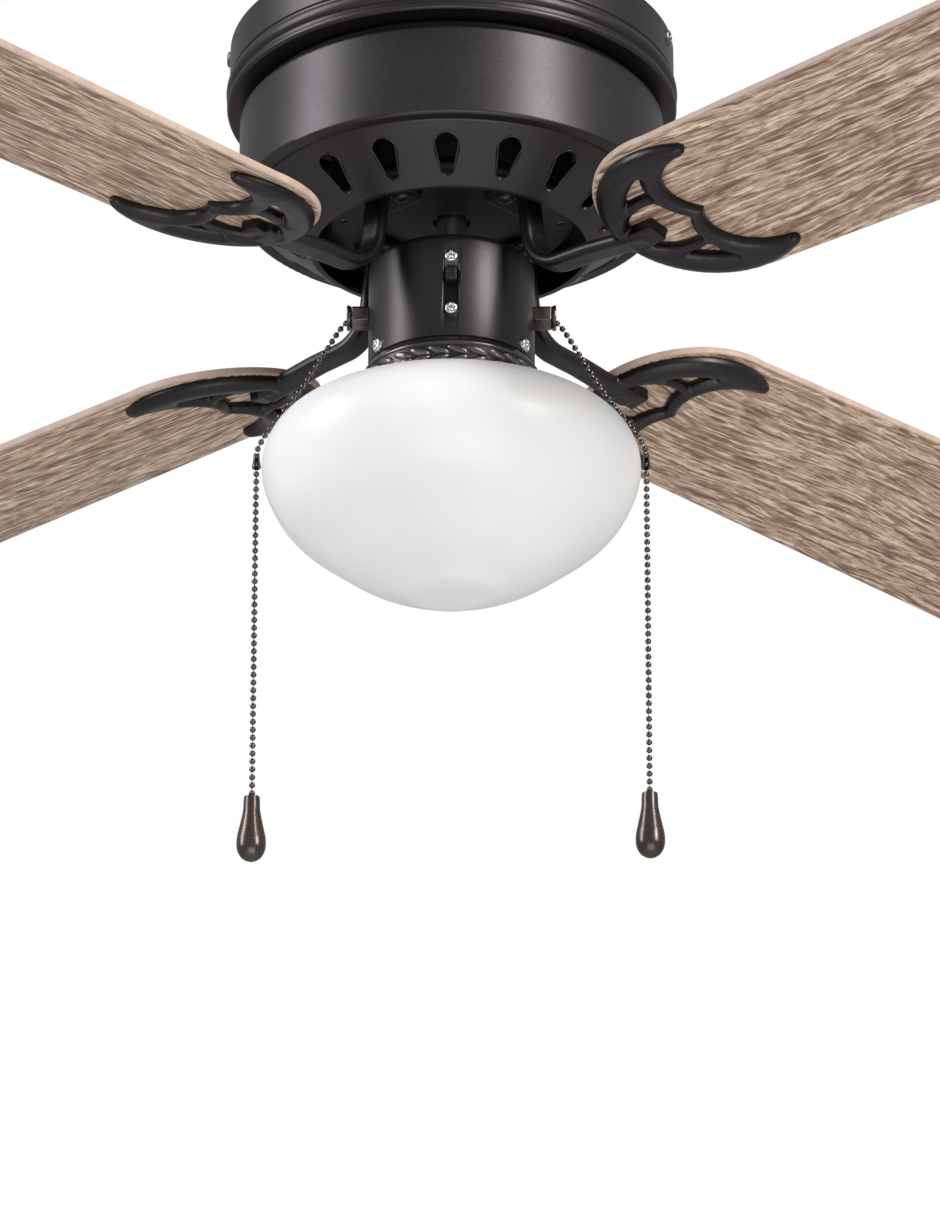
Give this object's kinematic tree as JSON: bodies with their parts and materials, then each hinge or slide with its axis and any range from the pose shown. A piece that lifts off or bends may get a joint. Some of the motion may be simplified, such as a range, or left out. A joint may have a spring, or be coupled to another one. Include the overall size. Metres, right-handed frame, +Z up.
{
  "type": "ceiling fan with light",
  "caption": "Flush-mount ceiling fan with a vented drum motor housing, pitched wood-grain blades on cast irons, an opal glass light kit and pull chains.",
  "frame": {"origin": "centre of the ceiling plate's top face, on the fan's axis", "axes": "+Z up along the fan's axis; +X towards the light's pull chain; -Y towards the reverse switch"},
  "size_m": [0.8424, 0.8424, 0.459],
  "materials": {
    "bronze_paint": "satin dark bronze paint on pressed steel",
    "bronze_cast": "satin dark bronze paint on castings",
    "bronze_metal": "dark bronze plated turned parts",
    "bronze_chain": "polished dark bronze ball chain",
    "bronze_fob": "rubbed bronze with reddish patina",
    "cast_dark": "dark painted casting",
    "core_steel": "laminated electrical steel",
    "shaft_steel": "ground steel",
    "zinc_steel": "zinc plated steel",
    "screw_steel": "nickel plated screws",
    "copper": "enamelled copper wire",
    "black_plastic": "moulded black plastic",
    "porcelain": "glazed porcelain",
    "bulb_glass": "frosted bulb",
    "opal_glass": "white opal glass, satin gloss",
    "oak_laminate": "weathered oak laminate"
  },
  "bodies": {
    "root": {"ceiling_plate": "zinc_steel", "motor_hanger": "zinc_steel", "hanger_screws": "screw_steel", "motor_shaft": "shaft_steel", "shaft_pin": "shaft_steel", "canopy": "bronze_paint", "canopy_screws": "screw_steel", "motor_housing": "bronze_paint", "housing_screws": "screw_steel", "vent_ring": "bronze_paint", "stator_core": "core_steel", "stator_windings": "copper", "upper_bearing": "shaft_steel", "lower_bearing": "shaft_steel", "stem_nuts": "zinc_steel", "switch_housing": "bronze_paint", "reverse_switch": "black_plastic", "reverse_screws": "screw_steel", "fan_pull_switch": "black_plastic", "light_pull_switch": "black_plastic", "fan_switch_outlet": "bronze_metal", "light_switch_outlet": "bronze_metal", "capacitor": "black_plastic", "bottom_cap": "bronze_paint", "light_fitter": "bronze_cast", "glass_screws": "screw_steel", "fitter_nipple": "zinc_steel", "nipple_nuts": "zinc_steel", "lamp_socket": "porcelain", "bulb": "bulb_glass", "glass_shade": "opal_glass", "fan_chain_upper": "bronze_chain", "light_chain_upper": "bronze_chain"},
    "rotor": {"rotor_cover_top": "cast_dark", "rotor_cover_bottom": "cast_dark", "rotor_ring": "core_steel", "rotor_screws": "screw_steel", "iron_screws": "screw_steel", "blade_screws": "screw_steel", "blade_iron_1": "bronze_cast", "blade_iron_2": "bronze_cast", "blade_iron_3": "bronze_cast", "blade_iron_4": "bronze_cast", "blade_1": "oak_laminate", "blade_2": "oak_laminate", "blade_3": "oak_laminate", "blade_4": "oak_laminate"},
    "reverse_slider": {"reverse_knob": "black_plastic"},
    "fan_pull": {"fan_chain_connector": "bronze_chain"},
    "fan_pendant": {"fan_chain_lower": "bronze_chain", "fan_pull_fob": "bronze_fob"},
    "light_pull": {"light_chain_connector": "bronze_chain"},
    "light_pendant": {"light_chain_lower": "bronze_chain", "light_pull_fob": "bronze_fob"}
  },
  "joints": [
    {"name": "fan_spin", "type": "hinge", "parent": "root", "child": "rotor", "pos_m": [0, 0, -0.1], "axis": [0, 0, 1], "continuous": true},
    {"name": "reverse_slide", "type": "slide", "parent": "root", "child": "reverse_slider", "axis": [0, 0, -1], "range_m": [0, 0.007]},
    {"name": "fan_pull_slide", "type": "slide", "parent": "root", "child": "fan_pull", "axis": [0, 0, -1], "range_m": [0, 0.01], "stiffness_N_per_m": 1000},
    {"name": "fan_pendant_swing", "type": "hinge", "parent": "fan_pull", "child": "fan_pendant", "pos_m": [-0.1013, 0, -0.243], "axis": [1, 0, 0], "range_deg": [-25, 25]},
    {"name": "light_pull_slide", "type": "slide", "parent": "root", "child": "light_pull", "axis": [0, 0, -1], "range_m": [0, 0.01], "stiffness_N_per_m": 1000},
    {"name": "light_pendant_swing", "type": "hinge", "parent": "light_pull", "child": "light_pendant", "pos_m": [0.1013, 0, -0.243], "axis": [1, 0, 0], "range_deg": [-25, 25]}
  ]
}
